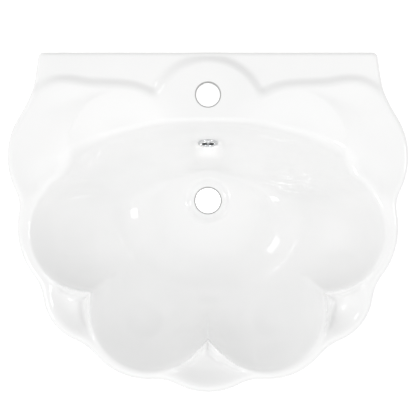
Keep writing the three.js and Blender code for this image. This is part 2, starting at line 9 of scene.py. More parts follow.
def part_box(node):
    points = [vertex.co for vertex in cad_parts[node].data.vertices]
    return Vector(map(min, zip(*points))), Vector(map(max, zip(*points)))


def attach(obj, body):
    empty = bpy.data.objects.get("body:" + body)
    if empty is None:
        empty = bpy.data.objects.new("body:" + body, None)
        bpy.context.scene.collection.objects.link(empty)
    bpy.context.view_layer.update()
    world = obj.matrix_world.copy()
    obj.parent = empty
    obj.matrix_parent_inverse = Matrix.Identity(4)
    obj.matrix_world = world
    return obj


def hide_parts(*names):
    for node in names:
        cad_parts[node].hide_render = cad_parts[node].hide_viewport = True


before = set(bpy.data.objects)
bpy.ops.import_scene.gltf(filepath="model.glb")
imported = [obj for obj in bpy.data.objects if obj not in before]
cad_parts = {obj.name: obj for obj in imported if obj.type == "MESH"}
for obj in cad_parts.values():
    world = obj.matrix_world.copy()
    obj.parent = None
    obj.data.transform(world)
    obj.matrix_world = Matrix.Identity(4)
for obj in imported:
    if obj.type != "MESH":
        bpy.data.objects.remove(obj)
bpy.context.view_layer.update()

# ------------------------------------------------------------------ sizes, in metres
# The basin's box gives its overall size. The rest are the china's own sizes, as the CAD model has them.
BASIN_LOW, BASIN_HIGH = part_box("basin")
PEDESTAL_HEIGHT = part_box("pedestal")[1].z
HALF_WIDTH = (BASIN_HIGH.x - BASIN_LOW.x) / 2
RIM_Z = BASIN_HIGH.z
WALL_Y = BASIN_HIGH.y
BACK_REACH = 0.211
FRONT_REACH = WALL_Y - BASIN_LOW.y - BACK_REACH
DRAIN_Y = WALL_Y - BACK_REACH

CHINA = 0.012
RIM_BAND = 0.012
RIM_EDGE = 0.006
LIP_DEPTH = 0.042
LIP_WALL = 0.011
LIP_ROUNDING = 0.003
LIP_GROOVE = 0.004
APRON_DEPTH = 0.170
APRON_SWEEP = 0.150
APRON_CORNER = 0.017
APRON_CORNER_RISE = 0.45
LEDGE_WIDTH = 0.484
LEDGE_FLARE = 0.15
LEDGE_DROP = 0.0085
LEDGE_STEP = 0.009
BOSS_STEP = 0.009
LEDGE_CORNER = 0.007
BOWL_DEPTH = 0.148
FLOOR_FALL = 0.005
FLOOR_RADIUS_FRONT = 0.078
FLOOR_RADIUS_BACK = 0.046
DISH_DEPTH_FRONT = 0.026
DISH_DEPTH_BACK = 0.007
DISH_WALL_FRONT = 0.042
DISH_WALL_BACK = 0.036
RIDGE_WALL_FRONT = 0.014
RIDGE_WALL_BACK = 0.032
REAR_DISH_DEPTH = 0.008
REAR_DISH_WALL = 0.045
REAR_DISH_SLOPE = 0.08
CREST = 0.004
CREST_FALL = 0.1
FRONT_RISE = 2.0
BACK_RISE = 1.35

TAP_HOLE_RADIUS = 0.017
TAP_FROM_WALL = 0.0615
HOLE_ROUNDING = 0.002
DRAIN_RADIUS = 0.020
DRAIN_RECESS_RADIUS = 0.036
DRAIN_RECESS_STEP = 0.010
DRAIN_RECESS_DEPTH = 0.004
DRAIN_BOSS_WALL = 0.013
DRAIN_BOSS_DEPTH = 0.030
OVERFLOW_BELOW_RIM = 0.058
OVERFLOW_HOLE_RADIUS = 0.0115
DUCT_WIDTH = 0.024
DUCT_DEPTH = 0.011
DUCT_WALL = 0.006

TRIM_RADIUS = 0.0142
TRIM_THICKNESS = 0.0022
TRIM_COLLAR_WALL = 0.001
TRIM_COLLAR_LENGTH = 0.006
TRIM_BAR = 0.0024
TRIM_CLEARANCE = 0.001
SLEEVE_WALL = 0.0012
GAP = 0.0003

SEAT_STAND = 0.016
SEAT_RADIUS = 0.114
SEAT_WALL = 0.015
SEAT_BELOW_RIM = BOWL_DEPTH + CHINA + SEAT_STAND
BOSS_BOTTOM = -(BOWL_DEPTH + FLOOR_FALL + DRAIN_RECESS_DEPTH + DRAIN_BOSS_DEPTH)

STUD_SPACING = 0.280
STUD_BELOW_RIM = 0.092
BUSH_RADIUS = 0.007
BUSH_FLANGE_RADIUS = 0.014

# The corner between a dish's outer wall and its ridges, as a share of the walls
DISH_CORNER = 0.3

# Widths over which neighbouring surfaces of the basin melt into each other
PETAL_BLEND = 0.016
LEDGE_BLEND = 0.008
BOWL_BLEND = 0.012
EDGE_BLEND = 0.012
BOWL_EDGE_BLEND_FRONT = 0.010
BOWL_EDGE_BLEND_BACK = 0.060

# The basin's plan, in shares of its half width: across, along (towards the wall) and radius
RIM_PETALS = (
    (0, 0, 0.36),
    (0, -0.618, 0.331),
    (0.294, -0.532, 0.354),
    (0.566, -0.452, 0.257),
    (0.563, -0.138, 0.386),
    (0.629, 0.215, 0.371),
    (0.733, 0.437, 0.159),
    (0.434, 0.28, 0.297),
)
SIDE_SCOOP = (0.601, -0.157, 0.287)
FRONT_SCOOP = (0.29, -0.552, 0.294)
REAR_DISH = (0.434, 0.28, 0.255)
TAP_BOSS = (0, 0.4285, 0.28)
BOWL_ROUND = (0, 0, 0.825)
BOWL_BACK = (0.734, 0.355, 2.5)
BACK_SHARE = 0.738
FRONT_SHARE = 0.949
LEDGE_START = 0.32 * HALF_WIDTH
REAR_TOP = (REAR_DISH[1] + REAR_DISH[2]) / BACK_SHARE * BACK_REACH

# The basin's shape changes softly from back to front. Each span is of the direction's cosine about the drain,
# which is -1 at the back and 1 at the front.
SCALLOP_FADE = (-0.35, 0.1)
BOWL_TURN = (-1, 0.2)
EDGE_TURN = (-0.3, 0.3)
# The scallops come in over this span of the bowl's wall, from its floor to its edge
SCALLOP_RISE = (0.5, 1.0)

# Searches along a direction end here, well outside the basin
FAR = 4 * HALF_WIDTH
BISECTIONS = 44

# Mesh steps of the fine china
AROUND = 560
TOP_STEPS = 104
ARC_STEPS = 6
UNDER_STEPS = 26
LIP_STEPS = 5
GROOVE_STEPS = 4
INSIDE_SEAT_STEPS = 10
CORNER_STEPS = 29
CORNER_SPAN = math.radians(2.4)
CORNER_CLEARANCE = math.radians(2.5)


# ------------------------------------------------------------------ small mathematics
def mix(a, b, share):
    return a + (b - a) * share


def smooth_step(low, high, value):
    share = np.clip((value - low) / (high - low), 0, 1)
    return share * share * (3 - 2 * share)


def soft_min(a, b, width):
    overlap = np.maximum(width - np.abs(a - b), 0) / width
    return np.minimum(a, b) - overlap * overlap * width / 4


def soft_max(a, b, width):
    return -soft_min(-a, -b, width)


def bisect(low, high, is_inside):
    """The last place inside, on each of many lines at once."""
    low = np.array(low, float)
    high = np.array(high, float)
    for _ in range(BISECTIONS):
        middle = (low + high) / 2
        inside = is_inside(middle)
        low = np.where(inside, middle, low)
        high = np.where(inside, high, middle)
    return low


# ------------------------------------------------------------------ the basin's plan
def to_plan(x, y):
    along = np.where(y < 0, y / FRONT_REACH * FRONT_SHARE, y / BACK_REACH * BACK_SHARE)
    return x / HALF_WIDTH, along


def beyond_petal(x, y, petal, side=1):
    across, along = to_plan(side * x, y)
    return (np.hypot(across - petal[0], along - petal[1]) - petal[2]) * HALF_WIDTH


def beyond_flower(x, y):
    distance = beyond_petal(np.abs(x), y, RIM_PETALS[0])
    for petal in RIM_PETALS[1:]:
        distance = soft_min(distance, beyond_petal(np.abs(x), y, petal), PETAL_BLEND)
    return distance


def beyond_ledge(x, y):
    side = np.abs(x) - LEDGE_WIDTH / 2 - LEDGE_FLARE * (BACK_REACH - y)
    return np.maximum(soft_max(side, y - BACK_REACH, LEDGE_CORNER), LEDGE_START - y)


def beyond_rim(x, y):
    return soft_min(beyond_flower(x, y), beyond_ledge(x, y), LEDGE_BLEND)


def across_at(angle, r):
    return r * np.sin(angle)


def along_at(angle, r):
    return -r * np.cos(angle)


def inset_radius(angle, inset):
    far = np.full_like(angle, FAR)
    return bisect(0 * angle, far, lambda r: beyond_rim(across_at(angle, r), along_at(angle, r)) < -inset)


def scoop_radius(angle, scoop, side):
    def inside(r):
        return beyond_petal(across_at(angle, r), along_at(angle, r), scoop, side) < 0

    across, along = to_plan(side * across_at(angle, 1), along_at(angle, 1))
    run = (across * scoop[0] + along * scoop[1]) / (across**2 + along**2)
    found = bisect(run, np.full_like(run, FAR), inside)
    return np.where((run > 0) & inside(run), found, 0)


def bowl_edge(angle):
    """The bowl's edge with its scallops, and the plain round bowl that they fade into."""
    side = np.where(angle < 0, -1, 1)
    across, along = to_plan(across_at(angle, 1), along_at(angle, 1))
    back_across, back_along, power = BOWL_BACK
    back = (np.abs(across / back_across) ** power + np.abs(along / back_along) ** power) ** (-1 / power)
    scalloped = scoop_radius(angle, SIDE_SCOOP, side)
    for other in (scoop_radius(angle, FRONT_SCOOP, side), scoop_radius(angle, FRONT_SCOOP, -side), back):
        scalloped = soft_max(scalloped, other, BOWL_BLEND)
    far = np.full_like(angle, FAR)

    def inside(r):
        return beyond_petal(across_at(angle, r), along_at(angle, r), BOWL_ROUND) < 0

    plain = bisect(0 * angle, far, inside)
    return scalloped, mix(scalloped, plain, smooth_step(*SCALLOP_FADE, np.cos(angle)))


# ------------------------------------------------------------------ the basin's heights, below the rim
def land_height(x, y):
    flower = 1 - smooth_step(-LEDGE_STEP, LEDGE_STEP, beyond_flower(x, y))
    boss = 1 - smooth_step(-BOSS_STEP, BOSS_STEP, beyond_petal(x, y, TAP_BOSS))
    return -LEDGE_DROP * (1 - flower) * (1 - boss)


def dish_depth(share):
    share = np.minimum(share, 1)
    return np.where(share < 0, 2 * share, share * (2 - share))


def front_share(y):
    return smooth_step(FRONT_REACH / 4, -FRONT_REACH / 4, y)


def petal_dish(x, y, r, scalloped):
    side = np.where(x < 0, -1, 1)
    front = front_share(y)
    outer = -beyond_flower(x, y) - RIM_BAND
    ridge = np.minimum.reduce([
        beyond_petal(x, y, SIDE_SCOOP, side),
        beyond_petal(x, y, FRONT_SCOOP, side),
        beyond_petal(x, y, FRONT_SCOOP, -side),
        beyond_petal(x, y, REAR_DISH, side),
        r - scalloped,
    ]) - CREST
    outer_share = outer / mix(DISH_WALL_BACK, DISH_WALL_FRONT, front)
    ridge_share = ridge / mix(RIDGE_WALL_BACK, RIDGE_WALL_FRONT, front)
    share = soft_min(outer_share, ridge_share, DISH_CORNER)
    return -mix(DISH_DEPTH_BACK, DISH_DEPTH_FRONT, front) * dish_depth(share)


def rear_dish(x, y):
    inside = -beyond_petal(x, y, REAR_DISH, np.where(x < 0, -1, 1))
    deepest = REAR_DISH_DEPTH + REAR_DISH_SLOPE * np.maximum(0, REAR_TOP - y)
    return -deepest * dish_depth(inside / REAR_DISH_WALL)


def bowl_height(angle, r, edge, thickness):
    scalloped, plain = edge
    front = smooth_step(*BOWL_TURN, np.cos(angle))
    floor = mix(FLOOR_RADIUS_BACK, FLOOR_RADIUS_FRONT, front)
    rise = mix(BACK_RISE, FRONT_RISE, front)
    scallop = smooth_step(*SCALLOP_RISE, (r - floor) / (plain - floor))
    reach = mix(plain, scalloped, scallop) + thickness
    share = np.maximum(0, (r - floor) / (reach - floor))
    fall = FLOOR_FALL * np.maximum(0, 1 - r / floor)
    return -(BOWL_DEPTH + thickness) * (1 - share**rise) - fall


def top_height(angle, r, edge):
    x = across_at(angle, r)
    y = along_at(angle, r)
    crest = CREST_FALL * np.clip(-beyond_flower(x, y) - RIM_BAND, 0, SEAT_RADIUS)
    dishes = np.minimum(petal_dish(x, y, r, edge[0]), rear_dish(x, y))
    land = land_height(x, y) - crest * smooth_step(BACK_REACH / 2, 0, y)
    outer = soft_min(land, dishes, EDGE_BLEND)
    recess = 1 - smooth_step(DRAIN_RECESS_RADIUS - DRAIN_RECESS_STEP, DRAIN_RECESS_RADIUS, r)
    blend = mix(BOWL_EDGE_BLEND_BACK, BOWL_EDGE_BLEND_FRONT, smooth_step(*EDGE_TURN, np.cos(angle)))
    return soft_min(outer, bowl_height(angle, r, edge, 0), blend) - DRAIN_RECESS_DEPTH * recess


def under_height(angle, r, edge):
    return np.minimum(top_height(angle, r, edge) - CHINA, bowl_height(angle, r, edge, CHINA))


# ------------------------------------------------------------------ mesh helpers
def mesh_object(name, vertices, faces, smooth_angle=35):
    mesh = bpy.data.meshes.new(name)
    mesh.from_pydata(np.asarray(vertices, float).tolist(), [], np.asarray(faces).tolist())
    shape = bmesh.new()
    shape.from_mesh(mesh)
    bmesh.ops.remove_doubles(shape, verts=shape.verts, dist=1e-6)
    bmesh.ops.dissolve_degenerate(shape, edges=shape.edges, dist=1e-7)
    bmesh.ops.recalc_face_normals(shape, faces=shape.faces)
    shape.to_mesh(mesh)
    shape.free()
    made = bpy.data.objects.new(name, mesh)
    bpy.context.scene.collection.objects.link(made)
    shade(made, smooth_angle)
    return made


def shade(made, smooth_angle):
    made.data.shade_smooth()
    made.data.set_sharp_from_angle(angle=math.radians(smooth_angle))


def ring_skin(name, rings, smooth_angle=35):
    """Skin of closed profiles, one for each turn of a closed ring."""
    around, count = rings.shape[:2]
    here = np.arange(around)[:, None] * count
    beside = (np.arange(around)[:, None] + 1) % around * count
    point = np.arange(count)[None]
    after = (point + 1) % count
    faces = np.stack([here + point, here + after, beside + after, beside + point], -1).reshape(-1, 4)
    return mesh_object(name, rings.reshape(-1, 3), faces, smooth_angle)


def even_angles(count):
    return -math.pi + 2 * math.pi * (np.arange(count) + 1) / count


def turned(name, outline, steps=64, smooth_angle=35):
    """A turned solid about the Y axis. Its outline is a list of (radius, y) that closes on itself."""
    outline = np.array(outline, float)
    angles = even_angles(steps)[:, None]
    rings = np.stack([
        outline[None, :, 0] * np.sin(angles),
        outline[None, :, 1] + 0 * angles,
        outline[None, :, 0] * np.cos(angles),
    ], -1)
    return ring_skin(name, rings, smooth_angle)


def rounded(outline, radius, steps=4):
    """The same closed outline of (radius, y) with each corner rounded over."""
    outline = [Vector(point) for point in outline]
    points = []
    for place, corner in enumerate(outline):
        before = outline[place - 1] - corner
        after = outline[(place + 1) % len(outline)] - corner
        reach = min(radius, before.length * 0.45, after.length * 0.45)
        start = corner + before.normalized() * reach
        end = corner + after.normalized() * reach
        for step in range(steps + 1):
            share = step / steps
            points.append(start * (1 - share) ** 2 + corner * 2 * share * (1 - share) + end * share**2)
    return [tuple(point) for point in points]


def tube(name, bore, radius, start, end, rounding, steps=72):
    outline = [(bore, start), (radius, start), (radius, end), (bore, end)]
    return turned(name, rounded(outline, rounding), steps)


def aim(made, origin, direction):
    """Turns a piece drawn about the Y axis so that +Y lies along a direction, and moves it to a point."""
    turn = Vector((0, 1, 0)).rotation_difference(Vector(direction)).to_matrix().to_4x4()
    made.data.transform(Matrix.Translation(Vector(origin)) @ turn)
    return made


def block(name, size, centre):
    made = mesh_object(name, [(x, y, z) for x in (-0.5, 0.5) for y in (-0.5, 0.5) for z in (-0.5, 0.5)], [
        (0, 1, 3, 2), (4, 6, 7, 5), (0, 4, 5, 1), (2, 3, 7, 6), (0, 2, 6, 4), (1, 5, 7, 3)])
    made.data.transform(Matrix.Translation(Vector(centre)) @ Matrix.Diagonal((*size, 1)))
    return made


def combine(made, others, operation="DIFFERENCE", smooth_angle=35):
    for other in others:
        change = made.modifiers.new("change", "BOOLEAN")
        change.operation = operation
        change.solver = "EXACT"
        change.object = other
    graph = bpy.context.evaluated_depsgraph_get()
    mesh = bpy.data.meshes.new_from_object(made.evaluated_get(graph))
    made.modifiers.clear()
    made.data = mesh
    for other in others:
        bpy.data.objects.remove(other)
    shade(made, smooth_angle)
    return made


def soften(made, width, segments=3, smooth_angle=35):
    """Rounds the piece's sharp edges over."""
    bevel = made.modifiers.new("edges", "BEVEL")
    bevel.width = width
    bevel.segments = segments
    bevel.limit_method = "ANGLE"
    bevel.angle_limit = math.radians(smooth_angle)
    graph = bpy.context.evaluated_depsgraph_get()
    mesh = bpy.data.meshes.new_from_object(made.evaluated_get(graph))
    made.modifiers.clear()
    made.data = mesh
    shade(made, smooth_angle)
    return made


def finish_piece(made, nodes, material):
    made.data.materials.clear()
    made.data.materials.append(material)
    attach(made, "root")
    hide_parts(nodes)
    return made


# ------------------------------------------------------------------ the basin
def apron_share(x, y):
    sides = smooth_step(0, APRON_SWEEP, y - (BACK_REACH - APRON_CORNER - APRON_SWEEP))
    corners = smooth_step(STUD_SPACING / 2 + BUSH_FLANGE_RADIUS, LEDGE_WIDTH / 2, np.abs(x))
    return sides * (1 - APRON_CORNER_RISE * corners)


def basin_angles():
    """Even directions round the drain, with close ones at the ledge's two square corners."""
    corner = math.atan2(LEDGE_WIDTH / 2, -BACK_REACH)
    close = corner + np.linspace(-CORNER_SPAN, CORNER_SPAN, CORNER_STEPS)
    even = even_angles(AROUND)
    even = even[np.abs(np.abs(even) - corner) > CORNER_CLEARANCE]
    return np.sort(np.concatenate([even, close, -close]))


def basin_profiles():
    angle = basin_angles()
    edge = bowl_edge(angle)
    outer = inset_radius(angle, 0)
    inner = inset_radius(angle, LIP_WALL)
    top = inset_radius(angle, RIM_EDGE)
    first = np.full_like(angle, DRAIN_RADIUS + HOLE_ROUNDING)
    floor = top_height(angle, first, edge)
    crown = top_height(angle, top, edge)
    lip = -mix(LIP_DEPTH, APRON_DEPTH, apron_share(across_at(angle, outer), along_at(angle, outer)))
    points = []

    def add(r, z):
        points.append(np.stack(np.broadcast_arrays(r + 0 * angle, z + 0 * angle), -1))

    for turn in np.linspace(0, math.pi / 2, ARC_STEPS + 1)[:-1]:
        add(first - HOLE_ROUNDING * math.cos(turn), floor - HOLE_ROUNDING * (1 - math.sin(turn)))
    for step in range(TOP_STEPS):
        r = mix(first, top, step / TOP_STEPS)
        add(r, top_height(angle, r, edge))
    for turn in np.linspace(0, math.pi / 2, ARC_STEPS + 1):
        inset = RIM_EDGE * (1 - math.sin(turn))
        add(inset_radius(angle, inset), crown - RIM_EDGE * (1 - math.cos(turn)))
    for share in np.linspace(0, 1, LIP_STEPS + 1)[1:]:
        add(outer, mix(crown - RIM_EDGE, lip + LIP_ROUNDING, share))
    for turn in np.linspace(0, math.pi / 2, ARC_STEPS + 1)[1:]:
        inset = LIP_ROUNDING * (1 - math.cos(turn))
        add(inset_radius(angle, inset), lip + LIP_ROUNDING * (1 - math.sin(turn)))
    add(inner, lip)
    ceiling = np.maximum(under_height(angle, inner, edge), lip + LIP_GROOVE)
    for share in np.linspace(0, 1, GROOVE_STEPS + 1)[1:]:
        add(inner, mix(lip, ceiling, share))
    for step in range(1, UNDER_STEPS + 1):
        r = mix(inner, SEAT_RADIUS, step / UNDER_STEPS)
        add(r, under_height(angle, r, edge))
    add(SEAT_RADIUS, -SEAT_BELOW_RIM)
    add(SEAT_RADIUS - SEAT_WALL, -SEAT_BELOW_RIM)
    boss_radius = DRAIN_RADIUS + DRAIN_BOSS_WALL
    for r in np.linspace(SEAT_RADIUS - SEAT_WALL, boss_radius, INSIDE_SEAT_STEPS):
        ring = np.full_like(angle, r)
        add(ring, under_height(angle, ring, edge))
    add(boss_radius, BOSS_BOTTOM)
    add(DRAIN_RADIUS, BOSS_BOTTOM)
    return angle, np.stack(points, 1)


def place_rings(angle, profiles, height):
    """Profiles of (radius, height) about the drain's axis, in the frame."""
    r = profiles[..., 0]
    return np.stack([
        across_at(angle[:, None], r),
        along_at(angle[:, None], r) + DRAIN_Y,
        profiles[..., 1] + height,
    ], -1)


BACK = np.array([math.pi])
BACK_EDGE = bowl_edge(BACK)


def back_wall_at(z):
    """The bowl's back wall in the drain's middle plane, at a height below the rim, in the frame."""
    y = bisect(np.zeros(1), BACK_EDGE[0], lambda r: top_height(BACK, r, BACK_EDGE) < z)
    return Vector((0, y[0] + DRAIN_Y, z + RIM_Z))


def inward_normal(high, low):
    along = (high - low).normalized()
    return Vector((0, along.z, -along.y))


TRIM_HIGH = back_wall_at(-OVERFLOW_BELOW_RIM + TRIM_RADIUS)
TRIM_LOW = back_wall_at(-OVERFLOW_BELOW_RIM - TRIM_RADIUS)
INTO_WALL = inward_normal(TRIM_HIGH, TRIM_LOW)
TRIM_SEAT = (TRIM_HIGH + TRIM_LOW) / 2


def duct(start, end, wall):
    run = end - start
    made = block("duct", (DUCT_WIDTH + 2 * wall, run.length + 2 * wall, DUCT_DEPTH + 2 * wall), (0, 0, 0))
    return aim(made, (start + end) / 2, run.normalized())


def overflow_ducts(wall):
    """The overflow's way down behind the bowl and forward to the drain."""
    behind = CHINA + DUCT_DEPTH / 2
    top = TRIM_SEAT + Vector((0, behind, OVERFLOW_HOLE_RADIUS))
    elbow = Vector((0, top.y, RIM_Z - (BOWL_DEPTH + FLOOR_FALL + CHINA + DUCT_DEPTH / 2)))
    reach = DRAIN_RADIUS + DRAIN_BOSS_WALL if wall > 0 else DRAIN_RADIUS - DUCT_WALL
    return [duct(top, elbow, wall), duct(elbow, Vector((0, DRAIN_Y + reach, elbow.z)), wall)]


def round_cutter(name, radius, start, end):
    return turned(name, [(0, start), (radius, start), (radius, end), (0, end)])


def tap_hole_cutter():
    """A plain round hole down from a flat top, with its upper edge rounded over."""
    mouth = TAP_HOLE_RADIUS + HOLE_ROUNDING
    outline = [(0, -APRON_DEPTH), (TAP_HOLE_RADIUS, -APRON_DEPTH)]
    for turn in np.linspace(0, math.pi / 2, 9):
        outline.append((mouth - HOLE_ROUNDING * math.cos(turn), HOLE_ROUNDING * (math.sin(turn) - 1)))
    outline += [(mouth, CHINA), (0, CHINA)]
    return turned("tap_hole", outline, 96)


def make_basin():
    angle, profiles = basin_profiles()
    made = ring_skin("Basin", place_rings(angle, profiles, RIM_Z))
    combine(made, overflow_ducts(DUCT_WALL), "UNION")
    bore = round_cutter("bore", OVERFLOW_HOLE_RADIUS, -BOWL_DEPTH / 3, CHINA + DUCT_DEPTH / 2)
    landing = round_cutter("landing", TRIM_RADIUS + TRIM_CLEARANCE, -BOWL_DEPTH / 3, 0)
    cutters = [*overflow_ducts(0), aim(bore, TRIM_SEAT, INTO_WALL), aim(landing, TRIM_SEAT, INTO_WALL)]
    cutters.append(aim(tap_hole_cutter(), (0, WALL_Y - TAP_FROM_WALL, RIM_Z), (0, 0, 1)))
    for side in (-1, 1):
        hole = round_cutter("hole", BUSH_RADIUS + GAP, -2 * LIP_WALL, LIP_WALL)
        cutters.append(aim(hole, (side * STUD_SPACING / 2, WALL_Y, RIM_Z - STUD_BELOW_RIM), (0, 1, 0)))
    return combine(made, cutters)


# ------------------------------------------------------------------ the pedestal
FOOT_RADIUS = 0.132
FOOT_EDGE = 0.016
SHAFT_RADIUS = 0.080
PEDESTAL_WALL = 0.013
PEDESTAL_LOBES = 12
PEDESTAL_FLUTE = 0.055
BACK_OPENING = 0.104
OPENING_ROUNDING = 0.008
FOOT_BAND = 0.064
HEAD_BAND = 0.014
FLUTE_FADE_LOW = 0.060
FLUTE_FADE_HIGH = 0.056
VALLEY_ROUNDING = 0.05
PEDESTAL_EDGE = 0.003

# The column's outline from foot to head: a stepped foot, a slim shaft and a head that flares to the seat
PEDESTAL_OUTLINE = (
    (FOOT_RADIUS, FOOT_EDGE),
    (FOOT_RADIUS - 0.009, FOOT_EDGE + 0.009),
    (FOOT_RADIUS - 0.017, FOOT_EDGE + 0.024),
    (FOOT_RADIUS - 0.022, FOOT_BAND),
    (mix(SHAFT_RADIUS, FOOT_RADIUS, 0.22), FOOT_BAND + 0.050),
    (SHAFT_RADIUS + 0.002, FOOT_BAND + 0.130),
    (SHAFT_RADIUS - 0.003, 0.52 * PEDESTAL_HEIGHT),
    (SHAFT_RADIUS, PEDESTAL_HEIGHT - 0.190),
    (mix(SHAFT_RADIUS, SEAT_RADIUS, 0.3), PEDESTAL_HEIGHT - 0.100),
    (mix(SHAFT_RADIUS, SEAT_RADIUS, 0.8), PEDESTAL_HEIGHT - 0.042),
    (SEAT_RADIUS, PEDESTAL_HEIGHT - HEAD_BAND),
)


def smooth_curve(points, steps):
    """A centripetal Catmull-Rom curve through the points."""
    points = np.array(points, float)
    points = np.concatenate([[2 * points[0] - points[1]], points, [2 * points[-1] - points[-2]]])
    curve = []
    for a, b, c, d in zip(points, points[1:], points[2:], points[3:]):
        times = np.cumsum([0] + [math.sqrt(np.linalg.norm(q - p)) for p, q in ((a, b), (b, c), (c, d))])
        for t in np.linspace(times[1], times[2], steps, endpoint=False):
            def between(low, high, start, end):
                return (low * (times[end] - t) + high * (t - times[start])) / (times[end] - times[start])

            before, here, after = between(a, b, 0, 1), between(b, c, 1, 2), between(c, d, 2, 3)
            curve.append(between(between(before, here, 0, 2), between(here, after, 1, 3), 1, 2))
    return np.array([*curve, points[-2]])


def flute_share(z):
    head = PEDESTAL_HEIGHT - HEAD_BAND
    low = smooth_step(FOOT_EDGE, FOOT_BAND + FLUTE_FADE_LOW, z)
    high = 1 - smooth_step(head - FLUTE_FADE_HIGH, head, z)
    return PEDESTAL_FLUTE * low * high


def make_pedestal():
    angle = even_angles(PEDESTAL_LOBES * 24)
    curve = smooth_curve(PEDESTAL_OUTLINE, 9)
    radius, z = curve[:, 0], curve[:, 1]
    wave = np.hypot(np.cos(PEDESTAL_LOBES / 2 * angle), VALLEY_ROUNDING)
    lobe = wave[:, None] - math.hypot(1, VALLEY_ROUNDING)
    outside = np.stack([radius * (1 + flute_share(z) * lobe), z + 0 * lobe], -1)[:, ::-1]
    inside = np.stack([radius * (1 - flute_share(z)) - PEDESTAL_WALL + 0 * lobe, z + 0 * lobe], -1)

    def flat(points):
        return np.broadcast_to(np.array(points, float), (len(angle), len(points), 2))

    turns = np.linspace(0, math.pi / 2, 5)
    arcs = [(PEDESTAL_EDGE * (1 - math.cos(turn)), PEDESTAL_EDGE * (1 - math.sin(turn))) for turn in turns]
    head = [(SEAT_RADIUS - PEDESTAL_WALL + r, PEDESTAL_HEIGHT - z) for r, z in arcs]
    brow = [(SEAT_RADIUS - r, PEDESTAL_HEIGHT - z) for r, z in reversed(arcs)]
    sole = [(FOOT_RADIUS - r, z) for r, z in arcs]
    heel = [(FOOT_RADIUS - PEDESTAL_WALL, 0)]
    profiles = np.concatenate([flat(heel), inside, flat(head), flat(brow), outside, flat(sole)], 1)
    made = ring_skin("Pedestal", place_rings(angle, profiles, 0))
    opening = block("opening", (BACK_OPENING, FOOT_RADIUS, PEDESTAL_HEIGHT),
                    (0, DRAIN_Y + FOOT_RADIUS / 2, FOOT_BAND + PEDESTAL_HEIGHT / 2))
    soften(opening, OPENING_ROUNDING, 4)
    return combine(made, [opening])


# ------------------------------------------------------------------ pads, trim and fixings
PAD_THICKNESS = 0.003
PAD_WIDTH = 0.009
PAD_SPAN = math.radians(16)
PAD_ROUNDING = 0.0008
PAD_STEPS = 16
PAD_TURNS = {"front_left": -135, "front_right": -45, "back_right": 35, "back_left": 145}


def make_pad(name, turn):
    middle = SEAT_RADIUS - SEAT_WALL / 2
    inner, outer = middle - PAD_WIDTH / 2, middle + PAD_WIDTH / 2
    section = [(inner, 0), (inner, PAD_THICKNESS), (outer, PAD_THICKNESS), (outer, 0)]
    section = np.array(rounded(section, PAD_ROUNDING, 3))
    angle = math.radians(turn) + np.linspace(-0.5, 0.5, PAD_STEPS + 1) * PAD_SPAN
    rings = np.stack([
        section[None, :, 0] * np.cos(angle)[:, None],
        section[None, :, 0] * np.sin(angle)[:, None] + DRAIN_Y,
        section[None, :, 1] + PEDESTAL_HEIGHT + GAP + 0 * angle[:, None],
    ], -1)
    around, count = rings.shape[:2]
    faces = [
        (a * count + p, a * count + (p + 1) % count, (a + 1) * count + (p + 1) % count, (a + 1) * count + p)
        for a in range(around - 1) for p in range(count)
    ]
    mesh = bpy.data.meshes.new(name)
    ends = [tuple(range(count)), tuple(reversed(range((around - 1) * count, around * count)))]
    mesh.from_pydata(rings.reshape(-1, 3).tolist(), [], faces + ends)
    shape = bmesh.new()
    shape.from_mesh(mesh)
    bmesh.ops.recalc_face_normals(shape, faces=shape.faces)
    shape.to_mesh(mesh)
    shape.free()
    made = bpy.data.objects.new(name, mesh)
    bpy.context.scene.collection.objects.link(made)
    shade(made, 40)
    return made


SLEEVE_RADIUS = OVERFLOW_HOLE_RADIUS - GAP
COLLAR_RADIUS = SLEEVE_RADIUS - SLEEVE_WALL - GAP
COLLAR_BORE = COLLAR_RADIUS - TRIM_COLLAR_WALL
SLEEVE_LENGTH = 0.009
TRIM_ROUNDING = 0.48 * TRIM_THICKNESS
TRIM_EDGE = 0.0006
TRIM_BAR_SHORT = 0.001
SLEEVE_EDGE = 0.0004


def make_trim():
    turns = np.linspace(0, math.pi / 2, 7)
    base = -GAP - TRIM_ROUNDING
    crown = TRIM_THICKNESS - TRIM_ROUNDING
    arc = [(TRIM_ROUNDING * (1 - math.cos(turn)), crown * math.sin(turn)) for turn in turns]
    outline = [(COLLAR_BORE, TRIM_COLLAR_LENGTH)]
    outline += [(COLLAR_BORE + inset, base - rise) for inset, rise in arc]
    outline += [(TRIM_RADIUS - inset, base - rise) for inset, rise in reversed(arc)]
    outline += [(TRIM_RADIUS, -GAP), (COLLAR_RADIUS, -GAP), (COLLAR_RADIUS, TRIM_COLLAR_LENGTH)]
    made = turned("OverflowRing", outline, 96)
    length = 2 * COLLAR_RADIUS - TRIM_BAR_SHORT
    bars = []
    for size in ((length, TRIM_BAR, TRIM_BAR), (TRIM_BAR, TRIM_BAR, length)):
        bars.append(soften(block("bar", size, (0, TRIM_BAR / 2, 0)), TRIM_EDGE))
    return aim(combine(made, bars, "UNION"), TRIM_SEAT, INTO_WALL)


def make_sleeve():
    bore = SLEEVE_RADIUS - SLEEVE_WALL
    made = tube("OverflowSleeve", bore, SLEEVE_RADIUS, GAP, SLEEVE_LENGTH, SLEEVE_EDGE, 64)
    return aim(made, TRIM_SEAT, INTO_WALL)


# The fixings lie along Y, with y from the drain's axis. Each stack stands on the apron's inner face.
STUD_RADIUS = 0.004
STUD_IN_WALL = 0.010
STUD_TIP = 0.008
STUD_CHAMFER = 0.001
THREAD_PITCH = 0.00125
THREAD_DEPTH = 0.0007
THREAD_STEP = 0.0001
